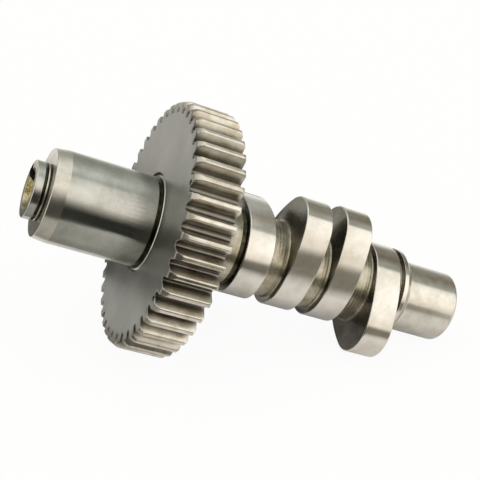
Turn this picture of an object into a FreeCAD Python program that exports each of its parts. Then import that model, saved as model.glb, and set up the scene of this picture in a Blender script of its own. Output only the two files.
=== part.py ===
import FreeCAD, Part
import math
import os

import Sketcher
from FreeCAD import Placement, Rotation, Vector

# A one-piece camshaft with four lobes, the timing gear pressed on it, and the key between them.
# Each piece is drawn with its axis on Z, the nose end face at zero and the case end at +Z.
# Clock angles run from +X, the top of the piece at rest, towards +Y.

doc = FreeCAD.newDocument("Camshaft")

# Driving dimensions in millimetres and degrees, each with what it measures
driving_sizes = [
    ("nose_radius", 7.94, "spigot that the ignition rotor sits on"),
    ("nose_edge_break", 0.25, "chamfer on the spigot's end"),
    ("nose_land_length", 2.15, "spigot, end face to groove"),
    ("nose_groove_width", 0.8, "groove behind the spigot's land"),
    ("nose_groove_depth", 1.0, "groove behind the spigot's land"),
    ("nose_ring_width", 0.45, "thin ring between the groove and the root"),
    ("nose_root_width", 0.39, "relief where the spigot meets the journal"),
    ("nose_root_depth", 0.7, "relief where the spigot meets the journal"),
    ("screw_hole_radius", 3.26, "tapped hole in the nose, at its crests"),
    ("screw_hole_depth", 20.0, "full-width depth of the tapped hole"),
    ("screw_mouth_radius", 5.6, "mouth of the countersink"),
    ("screw_mouth_depth", 2.6, "depth of the countersink"),
    ("drill_point_depth", 1.9, "cone at the bottom of the tapped hole"),
    ("rotor_slot_width", 3.3, "keyway in the spigot's mouth that turns the rotor"),
    ("rotor_slot_wall", 0.45, "rim left outside the keyway"),
    ("rotor_slot_depth", 1.8, "keyway in the mouth, along the axis"),
    ("rotor_slot_angle", -64.4, "clock angle of the keyway"),
    ("cover_journal_radius", 12.7, "journal that runs in the cover's bush"),
    ("cover_journal_length", 28.05, "journal with its lead-in"),
    ("journal_lead_length", 3.9, "lead-in taper of the journal"),
    ("journal_lead_depth", 0.5, "lead-in taper, off the radius"),
    ("undercut_width", 1.11, "grinding relief between journal and gear seat"),
    ("undercut_depth", 0.7, "grinding relief, off the journal's radius"),
    ("gear_seat_radius", 13.89, "seat that the gear is pressed on"),
    ("gear_seat_chamfer", 0.69, "chamfer that leads the gear on"),
    ("shoulder_radius", 16.5, "collar that the gear is pressed against"),
    ("shoulder_width", 2.2, "collar that the gear is pressed against"),
    ("neck_depth", 1.87, "turned necks, off the base circle's radius"),
    ("neck_corner", 0.6, "bevel where a neck meets a lobe"),
    ("neck_before_lobe_one", 9.65, "neck from the collar to the first lobe"),
    ("neck_before_lobe_two", 5.4, "neck between the first and second lobes"),
    ("neck_before_lobe_three", 4.95, "neck between the second and third lobes"),
    ("neck_before_lobe_four", 5.6, "neck between the third and fourth lobes"),
    ("lobe_width", 8.2, "each lobe, along the axis"),
    ("lobe_base_radius", 13.07, "base circle"),
    ("lobe_lift", 8.28, "nose height over the base circle"),
    ("lobe_nose_radius", 9.35, "arc of the nose"),
    ("lobe_flank_radius", 33.7, "arc of each flank"),
    ("lobe_edge_break", 0.25, "chamfer round each side of a lobe"),
    ("lobe_one_angle", -80.6, "clock angle of the first lobe's nose"),
    ("lobe_two_angle", 8.0, "clock angle of the second lobe's nose"),
    ("lobe_three_angle", 0.6, "clock angle of the third lobe's nose"),
    ("lobe_four_angle", 123.0, "clock angle of the fourth lobe's nose"),
    ("collar_gap", 1.54, "relief between the last lobe and the thrust collar"),
    ("collar_radius", 13.07, "thrust collar"),
    ("collar_land", 1.26, "full-width part of the collar"),
    ("collar_taper_length", 2.0, "taper behind the collar"),
    ("collar_foot", 0.35, "straight foot of the taper"),
    ("case_journal_radius", 10.319, "journal that runs in the case's bearing"),
    ("case_journal_length", 17.0, "journal with its end chamfer"),
    ("case_journal_chamfer", 0.8, "chamfer on the journal's end"),
    ("centre_mouth_radius", 3.2, "lathe centre in the case end"),
    ("centre_cone_depth", 3.0, "60 degree cone of the lathe centre"),
    ("centre_pilot_radius", 1.47, "pilot of the lathe centre"),
    ("centre_pilot_depth", 6.0, "pilot's depth from the end face"),
    ("gear_width", 13.8, "timing gear, face to face"),
    ("tooth_count", 42, "teeth"),
    ("pitch_radius", 33.3375, "pitch circle"),
    ("tooth_addendum", 1.5875, "teeth, out from the pitch circle"),
    ("tooth_dedendum", 1.9875, "gaps between the teeth, in from the pitch circle"),
    ("root_rise", 0.45, "height of the rounding at the bottom of a gap"),
    ("pressure_angle", 20.0, "tooth pressure angle"),
    ("tooth_lead_depth", 0.925, "lead-in on the front ends of the teeth, off their tips"),
    ("tooth_lead_length", 1.7, "lead-in on the front ends of the teeth"),
    ("gear_rear_break", 0.6, "edge break on the rear ends of the teeth"),
    ("gear_bore_chamfer", 0.3, "chamfer at both ends of the gear's bore"),
    ("mark_radius", 0.78, "punched timing marks, across the mouth"),
    ("mark_point_radius", 0.2, "punched timing marks, at the bottom"),
    ("mark_depth", 0.8, "punched timing marks"),
    ("mark_inset", 1.5375, "timing marks, in from the pitch circle"),
    ("mark_one_tooth", 5.86, "place of the first mark, in teeth counted up from the side"),
    ("mark_two_tooth", -0.82, "place of the second mark, counted the same way"),
    ("key_radius", 6.35, "half-moon key, radius of its round side"),
    ("key_height", 5.16, "half-moon key, round side to flat"),
    ("key_width", 3.175, "half-moon key"),
    ("key_seat_depth", 3.57, "depth of the key's seat in the shaft"),
    ("keyway_depth", 1.75, "keyway in the gear, out from the bore"),
    ("key_clearance", 0.02, "play round the key"),
]

sheet = doc.addObject("Spreadsheet::Sheet", "Sizes")
for row, (name, value, meaning) in enumerate(driving_sizes, start=1):
    sheet.set("A%d" % row, meaning)
    sheet.set("B%d" % row, str(value))
    sheet.setAlias("B%d" % row, name)
doc.recompute()


def size(name):
    return float(getattr(sheet, name))


# Value and expression of a sum of sizes: a leading minus takes one away, /2 halves it
def total(names):
    value = 0.0
    expression = "0"
    for name in names:
        plain, slash, divisor = name.lstrip("-").partition("/")
        sign = "-" if name.startswith("-") else "+"
        value += float(sign + "1") * size(plain) / float(divisor or 1)
        expression += " %s Sizes.%s%s" % (sign, plain, slash + divisor)
    return value, expression


def origin_part(body, role):
    for feature in body.Origin.OriginFeatures:
        if feature.Role == role:
            return feature
    raise ValueError("no %s in the body's origin" % role)


def new_sketch(body, name, plane):
    sketch = body.newObject("Sketcher::SketchObject", name)
    sketch.AttachmentSupport = (origin_part(body, plane), [""])
    sketch.MapMode = "FlatFace"
    return sketch


# A sketch across the axis, at a distance along it and turned to a clock angle
def cross_sketch(body, name, along=(), turn="0"):
    sketch = new_sketch(body, name, "XY_Plane")
    sketch.AttachmentOffset = Placement(Vector(0, 0, total(along)[0]), Rotation(Vector(0, 0, 1), 1))
    sketch.setExpression("AttachmentOffset.Base.z", total(along)[1])
    sketch.setExpression("AttachmentOffset.Rotation.Angle", turn)
    return sketch


# Holds one end of an edge at a place given by sums of sizes
def hold_point(sketch, edge, end, across, along):
    if not across and not along:
        sketch.addConstraint(Sketcher.Constraint("Coincident", edge, end, -1, 1))
        return
    for names, kind, axis in ((across, "DistanceX", -2), (along, "DistanceY", -1)):
        if not names:
            sketch.addConstraint(Sketcher.Constraint("PointOnObject", edge, end, axis))
            continue
        value, expression = total(names)
        number = sketch.addConstraint(Sketcher.Constraint(kind, -1, 1, edge, end, value))
        sketch.setExpression("Constraints[%d]" % number, expression)


def closed_outline(sketch, edges):
    for index, edge in enumerate(edges):
        following = edges[(index + 1) % len(edges)]
        sketch.addConstraint(Sketcher.Constraint("Coincident", edge, 2, following, 1))


def draw_polygon(sketch, points):
    edges = []
    for index, point in enumerate(points):
        following = points[(index + 1) % len(points)]
        edges.append(sketch.addGeometry(Part.LineSegment(point, following), False))
    closed_outline(sketch, edges)
    return edges


# Half of a turned section: its corners in order, each a radius and a distance along the axis
class HalfSection:
    def __init__(self):
        self.walked = ()
        self.corners = []

    def at(self, *names):
        self.walked = names
        return self

    def along(self, *names):
        self.walked += names
        return self

    def corner(self, *radius):
        self.corners.append((radius, self.walked))
        return self

    def draw(self, sketch):
        points = [Vector(total(radius)[0], total(along)[0], 0) for radius, along in self.corners]
        edges = draw_polygon(sketch, points)
        for edge, (radius, along) in zip(edges, self.corners):
            hold_point(sketch, edge, 1, radius, along)


def revolve(body, name, section):
    sketch = new_sketch(body, name + "Section", "XZ_Plane")
    section.draw(sketch)
    turned = body.newObject("PartDesign::Revolution", name)
    turned.Profile = sketch
    turned.ReferenceAxis = (sketch, ["V_Axis"])
    turned.Angle = 360
    doc.recompute()
    return turned


# A rectangle with its corners at the given sums of sizes, each (across, along)
def rectangle(sketch, left, right, low, high):
    places = [(left, low), (right, low), (right, high), (left, high)]
    points = [Vector(total(across)[0], total(along)[0], 0) for across, along in places]
    edges = draw_polygon(sketch, points)
    for edge, (across, along) in zip(edges, places):
        hold_point(sketch, edge, 1, across, along)


# Cuts a sketch out of the body and makes sure that something was removed
def pocket(body, name, sketch, expression, depth, **settings):
    before = body.Shape.Volume
    cut = body.newObject("PartDesign::Pocket", name)
    cut.Profile = sketch
    cut.Length = depth
    if expression:
        cut.setExpression("Length", expression)
    for key, value in settings.items():
        setattr(cut, key, value)
    doc.recompute()
    if cut.Shape.Volume > before - 1e-3:
        raise ValueError("%s removes nothing" % name)
    return cut


# Distances along the axis that more than one piece uses
to_gear_face = (
    "nose_land_length", "nose_groove_width", "nose_ring_width", "nose_root_width",
    "cover_journal_length", "undercut_width",
)
to_lobe_one = to_gear_face + ("gear_width", "shoulder_width", "neck_before_lobe_one")
to_lobe_two = to_lobe_one + ("lobe_width", "neck_before_lobe_two")
to_lobe_three = to_lobe_two + ("lobe_width", "neck_before_lobe_three")
to_lobe_four = to_lobe_three + ("lobe_width", "neck_before_lobe_four")
to_case_journal = to_lobe_four + (
    "lobe_width", "collar_gap", "collar_land", "collar_taper_length", "collar_foot",
)
to_case_end = to_case_journal + ("case_journal_length",)

lobes = [
    ("One", to_lobe_one, "lobe_one_angle"),
    ("Two", to_lobe_two, "lobe_two_angle"),
    ("Three", to_lobe_three, "lobe_three_angle"),
    ("Four", to_lobe_four, "lobe_four_angle"),
]


# The turned blank: bored nose, journals, gear seat, necks and collar
def shaft_section():
    neck = ("lobe_base_radius", "-neck_depth")
    section = HalfSection()
    section.at("screw_hole_depth", "drill_point_depth").corner()
    section.at("screw_hole_depth").corner("screw_hole_radius")
    section.at("screw_mouth_depth").corner("screw_hole_radius")
    section.at().corner("screw_mouth_radius")
    section.corner("nose_radius", "-nose_edge_break")
    section.along("nose_edge_break").corner("nose_radius")
    section.along("-nose_edge_break", "nose_land_length").corner("nose_radius")
    section.corner("nose_radius", "-nose_groove_depth")
    section.along("nose_groove_width").corner("nose_radius", "-nose_groove_depth")
    section.corner("nose_radius")
    section.along("nose_ring_width").corner("nose_radius")
    section.corner("nose_radius", "-nose_root_depth")
    section.along("nose_root_width").corner("nose_radius", "-nose_root_depth")
    section.corner("cover_journal_radius", "-journal_lead_depth")
    section.along("journal_lead_length").corner("cover_journal_radius")
    section.along("-journal_lead_length", "cover_journal_length").corner("cover_journal_radius")
    section.corner("cover_journal_radius", "-undercut_depth")
    section.along("undercut_width").corner("cover_journal_radius", "-undercut_depth")
    section.corner("gear_seat_radius", "-gear_seat_chamfer")
    section.along("gear_seat_chamfer").corner("gear_seat_radius")
    section.along("-gear_seat_chamfer", "gear_width").corner("gear_seat_radius")
    section.corner("shoulder_radius")
    section.along("shoulder_width").corner("shoulder_radius")
    section.corner(*neck)
    for number, (name, front, angle) in enumerate(lobes):
        section.at(*front, "-neck_corner").corner(*neck)
        section.at(*front).corner(*neck, "neck_corner")
        section.at(*front, "lobe_width")
        if number < len(lobes) - 1:
            section.corner(*neck, "neck_corner")
            section.along("neck_corner").corner(*neck).along("-neck_corner")
    section.corner(*neck)
    section.along("collar_gap").corner(*neck)
    section.corner("collar_radius")
    section.along("collar_land").corner("collar_radius")
    section.along("collar_taper_length").corner(*neck)
    section.along("collar_foot").corner(*neck)
    section.corner("case_journal_radius")
    section.along("case_journal_length", "-case_journal_chamfer").corner("case_journal_radius")
    section.along("case_journal_chamfer").corner("case_journal_radius", "-case_journal_chamfer")
    section.corner("centre_mouth_radius")
    section.along("-centre_cone_depth").corner("centre_pilot_radius")
    section.along("centre_cone_depth", "-centre_pilot_depth").corner("centre_pilot_radius")
    section.corner()
    return section


# Where the centres of the nose and flank arcs lie, with the nose towards +X
def lobe_centres():
    base = size("lobe_base_radius")
    nose = size("lobe_nose_radius")
    flank = size("lobe_flank_radius")
    reach = base + size("lobe_lift") - nose
    flank_x = ((flank - base) ** 2 - (flank - nose) ** 2 + reach ** 2) / (2 * reach)
    flank_y = math.sqrt((flank - base) ** 2 - flank_x ** 2)
    return reach, flank_x, flank_y


# Base circle and nose circle, joined by one tangent arc on each side
def draw_lobe(sketch):
    reach, flank_x, flank_y = lobe_centres()
    nose_turn = math.atan2(flank_y, reach - flank_x)
    base_turn = math.atan2(flank_y, -flank_x)
    arcs = [
        ("lobe_nose_radius", reach, 0, -nose_turn, nose_turn),
        ("lobe_flank_radius", flank_x, -flank_y, nose_turn, base_turn),
        ("lobe_base_radius", 0, 0, base_turn, 2 * math.pi - base_turn),
        ("lobe_flank_radius", flank_x, flank_y, -base_turn, -nose_turn),
    ]
    edges = []
    for name, x, y, low, high in arcs:
        circle = Part.Circle(Vector(x, y, 0), Vector(0, 0, 1), size(name))
        edges.append(sketch.addGeometry(Part.ArcOfCircle(circle, low, high), False))
    for index, edge in enumerate(edges):
        sketch.addConstraint(Sketcher.Constraint("Tangent", edge, 2, edges[(index + 1) % 4], 1))
    for edge, arc in zip(edges, arcs):
        number = sketch.addConstraint(Sketcher.Constraint("Radius", edge, size(arc[0])))
        sketch.setExpression("Constraints[%d]" % number, "Sizes." + arc[0])
    hold_point(sketch, edges[0], 3, ("lobe_base_radius", "lobe_lift", "-lobe_nose_radius"), ())
    hold_point(sketch, edges[2], 3, (), ())


def add_lobe(body, name, front, angle):
    sketch = cross_sketch(body, "Lobe%sOutline" % name, front, "Sizes." + angle)
    draw_lobe(sketch)
    lobe = body.newObject("PartDesign::Pad", "Lobe" + name)
    lobe.Profile = sketch
    lobe.Length = size("lobe_width")
    lobe.setExpression("Length", "Sizes.lobe_width")
    doc.recompute()


# Breaks the sharp outer edges of every lobe
def break_lobe_edges(body):
    sides = []
    for name, front, angle in lobes:
        sides += [total(front)[0], total(front + ("lobe_width",))[0]]
    chosen = []
    last_lobe = body.Tip
    for number, edge in enumerate(last_lobe.Shape.Edges, start=1):
        middle = edge.valueAt((edge.FirstParameter + edge.LastParameter) / 2)
        across = edge.BoundBox.ZLength < 1e-4
        at_side = min(abs(middle.z - side) for side in sides) < 1e-3
        if across and at_side and math.hypot(middle.x, middle.y) > size("lobe_base_radius") - 1e-3:
            chosen.append("Edge%d" % number)
    chamfer = body.newObject("PartDesign::Chamfer", "LobeEdges")
    chamfer.Base = (last_lobe, chosen)
    chamfer.Size = size("lobe_edge_break")
    chamfer.setExpression("Size", "Sizes.lobe_edge_break")
    doc.recompute()


# The keyway in the nose's mouth, closed by a thin rim
def cut_rotor_slot(body):
    slot = cross_sketch(body, "RotorSlotOutline", (), "Sizes.rotor_slot_angle")
    outside = ("nose_radius", "-rotor_slot_wall")
    rectangle(slot, (), outside, ("-rotor_slot_width/2",), ("rotor_slot_width/2",))
    pocket(body, "RotorSlot", slot, "Sizes.rotor_slot_depth", size("rotor_slot_depth"), Reversed=True)


# The half-moon key's round side, on the far side of the shaft
key_middle = to_gear_face + ("gear_width/2",)
key_centre = ("-gear_seat_radius", "key_seat_depth", "-key_radius")


def cut_key_seat(body):
    seat = new_sketch(body, "KeySeatOutline", "YZ_Plane")
    centre = Vector(total(key_centre)[0], total(key_middle)[0], 0)
    radius, expression = total(("key_radius", "key_clearance"))
    edge = seat.addGeometry(Part.Circle(centre, Vector(0, 0, 1), radius), False)
    hold_point(seat, edge, 3, key_centre, key_middle)
    number = seat.addConstraint(Sketcher.Constraint("Radius", edge, radius))
    seat.setExpression("Constraints[%d]" % number, expression)
    width, expression = total(("key_width", "key_clearance", "key_clearance"))
    pocket(body, "KeySeat", seat, expression, width, Midplane=True)


def build_camshaft():
    body = doc.addObject("PartDesign::Body", "Camshaft")
    body.Label = "camshaft"
    revolve(body, "Shaft", shaft_section())
    for name, front, angle in lobes:
        add_lobe(body, name, front, angle)
    break_lobe_edges(body)
    cut_rotor_slot(body)
    cut_key_seat(body)
    return body


def build_key():
    body = doc.addObject("PartDesign::Body", "GearKey")
    body.Label = "gear_key"
    outline = new_sketch(body, "KeyOutline", "YZ_Plane")
    centre = Vector(total(key_centre)[0], total(key_middle)[0], 0)
    flat = key_centre + ("key_radius", "-key_height")
    half_turn = math.acos((size("key_radius") - size("key_height")) / size("key_radius"))
    circle = Part.Circle(centre, Vector(0, 0, 1), size("key_radius"))
    arc = outline.addGeometry(Part.ArcOfCircle(circle, -half_turn, half_turn), False)
    rise = size("key_radius") * math.sin(half_turn)
    top = Vector(total(flat)[0], centre.y + rise, 0)
    foot = Vector(total(flat)[0], centre.y - rise, 0)
    chord = outline.addGeometry(Part.LineSegment(top, foot), False)
    closed_outline(outline, [arc, chord])
    outline.addConstraint(Sketcher.Constraint("Vertical", chord))
    hold_point(outline, arc, 3, key_centre, key_middle)
    number = outline.addConstraint(Sketcher.Constraint("Radius", arc, size("key_radius")))
    outline.setExpression("Constraints[%d]" % number, "Sizes.key_radius")
    number = outline.addConstraint(Sketcher.Constraint("DistanceX", -1, 1, chord, 1, total(flat)[0]))
    outline.setExpression("Constraints[%d]" % number, total(flat)[1])
    key = body.newObject("PartDesign::Pad", "Key")
    key.Profile = outline
    key.Length = size("key_width")
    key.setExpression("Length", "Sizes.key_width")
    key.Midplane = True
    doc.recompute()
    return body


# How far the teeth and the gaps between them reach
tooth_tip = ("pitch_radius", "tooth_addendum")
gap_root = ("pitch_radius", "-tooth_dedendum")


# The gear before its teeth are cut: bore, faces, and the lead-in on the tooth ends
def gear_section():
    section = HalfSection()
    section.at(*to_gear_face).corner("gear_seat_radius", "gear_bore_chamfer")
    section.corner(*tooth_tip, "-tooth_lead_depth")
    section.along("tooth_lead_length").corner(*tooth_tip)
    section.at(*to_gear_face, "gear_width", "-gear_rear_break").corner(*tooth_tip)
    section.along("gear_rear_break").corner(*tooth_tip, "-gear_rear_break")
    section.corner("gear_seat_radius", "gear_bore_chamfer")
    section.along("-gear_bore_chamfer").corner("gear_seat_radius")
    section.at(*to_gear_face, "gear_bore_chamfer").corner("gear_seat_radius")
    return section


# Half the angle of a tooth gap at a radius, in radians, for involute teeth
def half_gap(radius):
    pressure = math.radians(size("pressure_angle"))
    base_radius = size("pitch_radius") * math.cos(pressure)
    slant = math.acos(min(1.0, base_radius / radius))
    opening = (math.tan(slant) - slant) - (math.tan(pressure) - pressure)
    return math.pi / (2 * size("tooth_count")) + opening


def gap_point(radius, side):
    angle = side * half_gap(radius)
    return Vector(radius * math.cos(angle), radius * math.sin(angle), 0)


# One gap between two teeth: a rounded bottom, two involute sides and an open top
def draw_gap(sketch):
    tip = total(tooth_tip)[0]
    root = total(gap_root)[0]
    foot = root + size("root_rise")
    middle = (foot + tip) / 2
    clear = tip + size("root_rise")
    low_side = [gap_point(radius, -1) for radius in (foot, middle, tip)]
    high_side = [gap_point(radius, 1) for radius in (foot, middle, tip)]
    bottom = Vector(root, 0, 0)
    out_low = Vector(clear, low_side[2].y, 0)
    out_high = Vector(clear, high_side[2].y, 0)
    sketch.addGeometry([
        Part.Arc(high_side[0], bottom, low_side[0]),
        Part.Arc(*low_side),
        Part.LineSegment(low_side[2], out_low),
        Part.LineSegment(out_low, out_high),
        Part.LineSegment(out_high, high_side[2]),
        Part.Arc(*reversed(high_side)),
    ], False)


def cut_teeth(body):
    outline = cross_sketch(body, "GapOutline", (), "0")
    draw_gap(outline)
    gap = pocket(body, "Gap", outline, None, 1, Type="ThroughAll", Reversed=True)
    teeth = body.newObject("PartDesign::PolarPattern", "Teeth")
    teeth.Originals = [gap]
    teeth.Axis = (origin_part(body, "Z_Axis"), [""])
    teeth.Angle = 360
    teeth.setExpression("Occurrences", "Sizes.tooth_count")
    body.Tip = teeth
    doc.recompute()


# A slot along the gear's bore for the key, open at both faces
def cut_keyway(body):
    slot = cross_sketch(body, "KeywayOutline", (), "0")
    half = ("key_width/2", "key_clearance")
    bottom = ("-gear_seat_radius", "-keyway_depth")
    rectangle(slot, tuple("-" + name for name in half), half, bottom, ())
    pocket(body, "Keyway", slot, None, 1, Type="ThroughAll", Reversed=True)


# A punched mark at the foot of a tooth, on the front face
def punch_mark(body, name, tooth):
    turn = "(90 - Sizes.%s * 360 / Sizes.tooth_count)" % tooth
    reach = "(%s)" % total(("pitch_radius", "-mark_inset"))[1]
    before = body.Shape.Volume
    mark = body.newObject("PartDesign::SubtractiveCone", name)
    mark.AttachmentSupport = (origin_part(body, "XY_Plane"), [""])
    mark.MapMode = "FlatFace"
    mark.setExpression("AttachmentOffset.Base.x", "%s * cos%s" % (reach, turn))
    mark.setExpression("AttachmentOffset.Base.y", "%s * sin%s" % (reach, turn))
    mark.setExpression("AttachmentOffset.Base.z", total(to_gear_face)[1])
    mark.setExpression("Radius1", "Sizes.mark_radius")
    mark.setExpression("Radius2", "Sizes.mark_point_radius")
    mark.setExpression("Height", "Sizes.mark_depth")
    doc.recompute()
    if mark.Shape.Volume > before - 1e-3:
        raise ValueError("%s removes nothing" % name)


def build_gear():
    body = doc.addObject("PartDesign::Body", "TimingGear")
    body.Label = "timing_gear"
    revolve(body, "Blank", gear_section())
    cut_teeth(body)
    cut_keyway(body)
    punch_mark(body, "MarkOne", "mark_one_tooth")
    punch_mark(body, "MarkTwo", "mark_two_tooth")
    return body


# How far a lobe reaches below the axis when its nose points to a clock angle
def lobe_reach(angle):
    reach, flank_x, flank_y = lobe_centres()
    off_nose = math.radians(abs((180 - size(angle) + 180) % 360 - 180))
    if off_nose < math.atan2(flank_y, reach - flank_x):
        return reach * math.cos(off_nose) + size("lobe_nose_radius")
    if off_nose < math.atan2(flank_y, -flank_x):
        middle = flank_x * math.cos(off_nose) - flank_y * math.sin(off_nose)
        return middle + size("lobe_flank_radius")
    return size("lobe_base_radius")


# The piece lies on two teeth of its gear and on whatever lies lowest behind them
def rest_placement():
    gear_foot = total(to_gear_face + ("gear_width", "-gear_rear_break"))[0]
    tip = total(tooth_tip)[0]
    gear_reach = tip * math.cos(half_gap(tip))
    feet = [(total(to_case_end + ("-case_journal_chamfer",))[0], size("case_journal_radius"))]
    for name, front, angle in lobes:
        feet.append((total(front + ("lobe_width", "-lobe_edge_break"))[0], lobe_reach(angle)))
    slope = min(math.atan((gear_reach - reach) / (foot - gear_foot)) for foot, reach in feet)
    run = math.cos(slope)
    fall = math.sin(slope)
    nose_end = -fall * total(("nose_radius", "-nose_edge_break"))[0]
    case_end = run * total(to_case_end)[0]
    case_end += fall * total(("case_journal_radius", "-case_journal_chamfer"))[0]
    height = fall * gear_foot + run * gear_reach
    turn = Rotation(Vector(fall, 0, run), Vector(0, -1, 0), Vector(run, 0, -fall), "ZXY")
    return Placement(Vector(-(nose_end + case_end) / 2, 0, height), turn)


pieces = [build_camshaft(), build_gear(), build_key()]
for piece in pieces:
    piece.Placement = rest_placement()
doc.recompute()

for item in doc.Objects:
    if "Invalid" in item.State or "Error" in item.State:
        raise RuntimeError("%s failed" % item.Label)
os.makedirs("parts", exist_ok=True)
for piece in pieces:
    if piece.Shape.isNull() or not piece.Shape.isValid():
        raise RuntimeError("%s has no valid shape" % piece.Label)
    piece.Shape.exportStep("parts/%s.step" % piece.Label)
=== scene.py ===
import math

import bpy
import numpy as np
from mathutils import Euler, Matrix


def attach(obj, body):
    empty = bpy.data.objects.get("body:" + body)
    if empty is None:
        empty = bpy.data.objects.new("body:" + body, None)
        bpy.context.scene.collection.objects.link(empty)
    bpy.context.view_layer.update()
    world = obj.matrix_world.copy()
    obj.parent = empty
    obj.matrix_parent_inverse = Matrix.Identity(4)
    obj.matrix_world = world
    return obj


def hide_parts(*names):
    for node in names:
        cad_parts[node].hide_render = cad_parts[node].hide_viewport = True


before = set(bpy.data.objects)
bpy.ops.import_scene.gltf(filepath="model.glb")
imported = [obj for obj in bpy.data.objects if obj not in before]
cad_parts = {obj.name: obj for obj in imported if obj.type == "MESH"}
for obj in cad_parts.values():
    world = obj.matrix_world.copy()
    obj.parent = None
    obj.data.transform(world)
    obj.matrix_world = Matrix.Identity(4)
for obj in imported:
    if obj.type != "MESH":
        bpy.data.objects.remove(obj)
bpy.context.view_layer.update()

# How the camshaft lies: nose up to the left, on two teeth and the edge of its last journal
lie = {
    "slope": 16.561231,  # degrees that the shaft drops towards the case end
    "start": -62.324558,  # mm, where the nose end face crosses the axis, along X
    "height": 46.575552,  # mm, the same point above the floor
    "sharpAngle": 34,  # degrees, past which an edge stays sharp
}
fall = math.sin(math.radians(lie["slope"]))
run = math.cos(math.radians(lie["slope"]))

# From the shaft's own millimetres (Z along the axis, X its top, Y towards the camera)
# to metres in the room
shaftToRoom = Matrix.Scale(0.001, 4) @ Matrix((
    (fall, 0, run, lie["start"]),
    (0, -1, 0, 0),
    (run, 0, -fall, lie["height"]),
    (0, 0, 0, 1),
))


def colour(hexCode):
    channels = [int(hexCode[i:i + 2], 16) / 255 for i in (1, 3, 5)]
    linear = [c / 12.92 if c <= 0.04045 else ((c + 0.055) / 1.055) ** 2.4 for c in channels]
    return (*linear, 1.0)


# One node with its settings, and its inputs as numbers or as links from other sockets
def addNode(tree, kind, inputs=None, **settings):
    node = tree.nodes.new(kind)
    for key, value in settings.items():
        setattr(node, key, value)
    for key, value in (inputs or {}).items():
        if isinstance(value, bpy.types.NodeSocket):
            tree.links.new(value, node.inputs[key])
        else:
            node.inputs[key].default_value = value
    return node


# Fills a colour ramp with stops of (place, colour)
def setRamp(node, stops):
    elements = node.color_ramp.elements
    while len(elements) < len(stops):
        elements.new(0.5)
    for element, (place, shade) in zip(elements, stops):
        element.position = place
        element.color = shade


def addObject(name, mesh):
    made = bpy.data.objects.new(name, mesh)
    bpy.context.scene.collection.objects.link(made)
    return made


# The mesh that an object's modifiers give, with the modifiers taken off
def settle(piece):
    bpy.context.view_layer.update()
    graph = bpy.context.evaluated_depsgraph_get()
    mesh = bpy.data.meshes.new_from_object(piece.evaluated_get(graph))
    piece.modifiers.clear()
    piece.data = mesh


# Takes closed cutters out of a piece
def cutAway(piece, cutters):
    for cutter in cutters:
        cut = piece.modifiers.new("cut", "BOOLEAN")
        cut.operation = "DIFFERENCE"
        cut.solver = "MANIFOLD"
        cut.object = cutter
    settle(piece)
    for cutter in cutters:
        bpy.data.objects.remove(cutter)


# Into the room, smooth but for its real edges, riding with the part
def finishPiece(piece, replaced=None):
    piece.data.transform(shaftToRoom)
    piece.data.shade_smooth()
    piece.data.set_sharp_from_angle(angle=math.radians(lie["sharpAngle"]))
    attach(piece, "root")
    if replaced:
        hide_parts(replaced)


# The place in the shaft's own mm, its distance along the shaft and its distance from the axis
def turnedPlace(tree):
    place = addNode(tree, "ShaderNodeTexCoord").outputs["Object"]
    lined = addNode(tree, "ShaderNodeMapping", {
        "Vector": place, "Scale": (1000, 1000, 1000),
        "Rotation": (0, math.radians(-lie["slope"]), 0),
        "Location": (
            fall * lie["height"] - run * lie["start"], 0,
            -run * lie["height"] - fall * lie["start"]),
    }).outputs[0]
    parts = addNode(tree, "ShaderNodeSeparateXYZ", {0: lined})
    flat = addNode(tree, "ShaderNodeVectorMath", {0: lined, 1: (0, 1, 1)}, operation="MULTIPLY")
    radius = addNode(tree, "ShaderNodeVectorMath", {0: flat.outputs[0]}, operation="LENGTH")
    return lined, parts.outputs["X"], radius.outputs["Value"]


# The direction in the surface that crosses the tool marks: along the shaft on its round sides,
# outwards on its faces
def acrossMarks(tree):
    place = addNode(tree, "ShaderNodeTexCoord").outputs["Object"]
    nose = (lie["start"] / 1000, 0, lie["height"] / 1000)
    fromAxis = addNode(tree, "ShaderNodeVectorMath", {0: place, 1: nose}, operation="SUBTRACT")
    marks = addNode(tree, "ShaderNodeVectorMath", {
        0: fromAxis.outputs[0], 1: (run, 0, -fall)}, operation="CROSS_PRODUCT")
    facing = addNode(tree, "ShaderNodeNewGeometry").outputs["Normal"]
    across = addNode(tree, "ShaderNodeVectorMath", {
        0: facing, 1: marks.outputs[0]}, operation="CROSS_PRODUCT")
    unit = addNode(tree, "ShaderNodeVectorMath", {0: across.outputs[0]}, operation="NORMALIZE")
    return unit.outputs[0]


# What all the steel patterns share
pattern = {
    "alongMark": 0.12,  # cycles per mm along a tool mark
    "low": 0.3, "high": 0.7,  # the part of a noise's range that counts
    "stainAt": 0.36, "baseAt": 0.5, "brightAt": 0.66,  # where the three colours lie in it
}


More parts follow.
